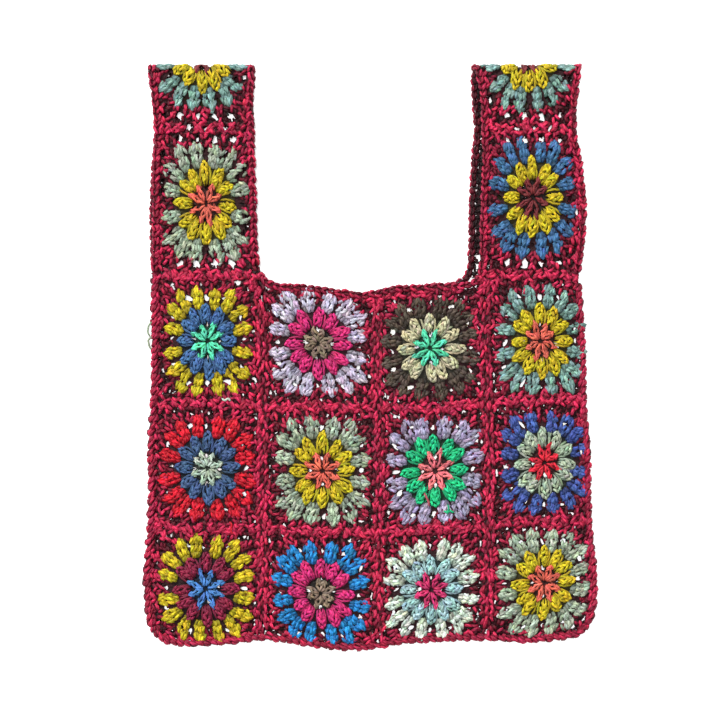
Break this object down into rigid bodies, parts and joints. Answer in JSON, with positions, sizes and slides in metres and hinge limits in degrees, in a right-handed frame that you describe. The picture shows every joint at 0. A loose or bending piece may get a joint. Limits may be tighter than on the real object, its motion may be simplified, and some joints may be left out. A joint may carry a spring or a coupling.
{
  "type": "crochet handbag",
  "caption": "Granny-square crochet tote bag lying flat on its back: a patchwork front and back with two handles folded over at their tops and an open U-shaped mouth between them.",
  "frame": {"origin": "centre of the bag's outline on the surface that its back lies on", "axes": "+X to the wearer's right as seen from the front, +Y from the bottom of the bag to the tops of its handles, +Z out of the front face"},
  "size_m": [0.4088, 0.5286, 0.0163],
  "materials": {
    "crimson": "matte cotton yarn",
    "sage": "matte cotton yarn",
    "steel_blue": "matte cotton yarn",
    "mustard": "matte cotton yarn",
    "lavender": "matte cotton yarn",
    "charcoal": "matte cotton yarn",
    "teal": "matte cotton yarn",
    "scarlet": "matte cotton yarn",
    "royal_blue": "matte cotton yarn",
    "azure": "matte cotton yarn",
    "ivory": "matte cotton yarn"
  },
  "bodies": {
    "root": {"front_top_1": "mustard", "front_top_2": "lavender", "front_top_3": "charcoal", "front_top_4": "teal", "front_middle_1": "scarlet", "front_middle_2": "sage", "front_middle_3": "lavender", "front_middle_4": "royal_blue", "front_bottom_1": "mustard", "front_bottom_2": "azure", "front_bottom_3": "ivory", "front_bottom_4": "sage", "back_top_1": "sage", "back_top_2": "teal", "back_top_3": "mustard", "back_top_4": "lavender", "back_middle_1": "royal_blue", "back_middle_2": "ivory", "back_middle_3": "sage", "back_middle_4": "mustard", "back_bottom_1": "sage", "back_bottom_2": "scarlet", "back_bottom_3": "azure", "back_bottom_4": "steel_blue", "strap_front_left": "sage", "strap_front_right": "steel_blue", "strap_back_left": "steel_blue", "strap_back_right": "sage", "strap_fold_left": "teal", "strap_fold_right": "teal", "front_seam_1": "crimson", "front_seam_2": "crimson", "front_seam_3": "crimson", "back_seam_1": "crimson", "back_seam_2": "crimson", "back_seam_3": "crimson", "side_bottom_seam": "crimson", "neck_edging": "crimson", "handle_edging_left": "crimson", "handle_edging_right": "crimson"}
  },
  "joints": []
}
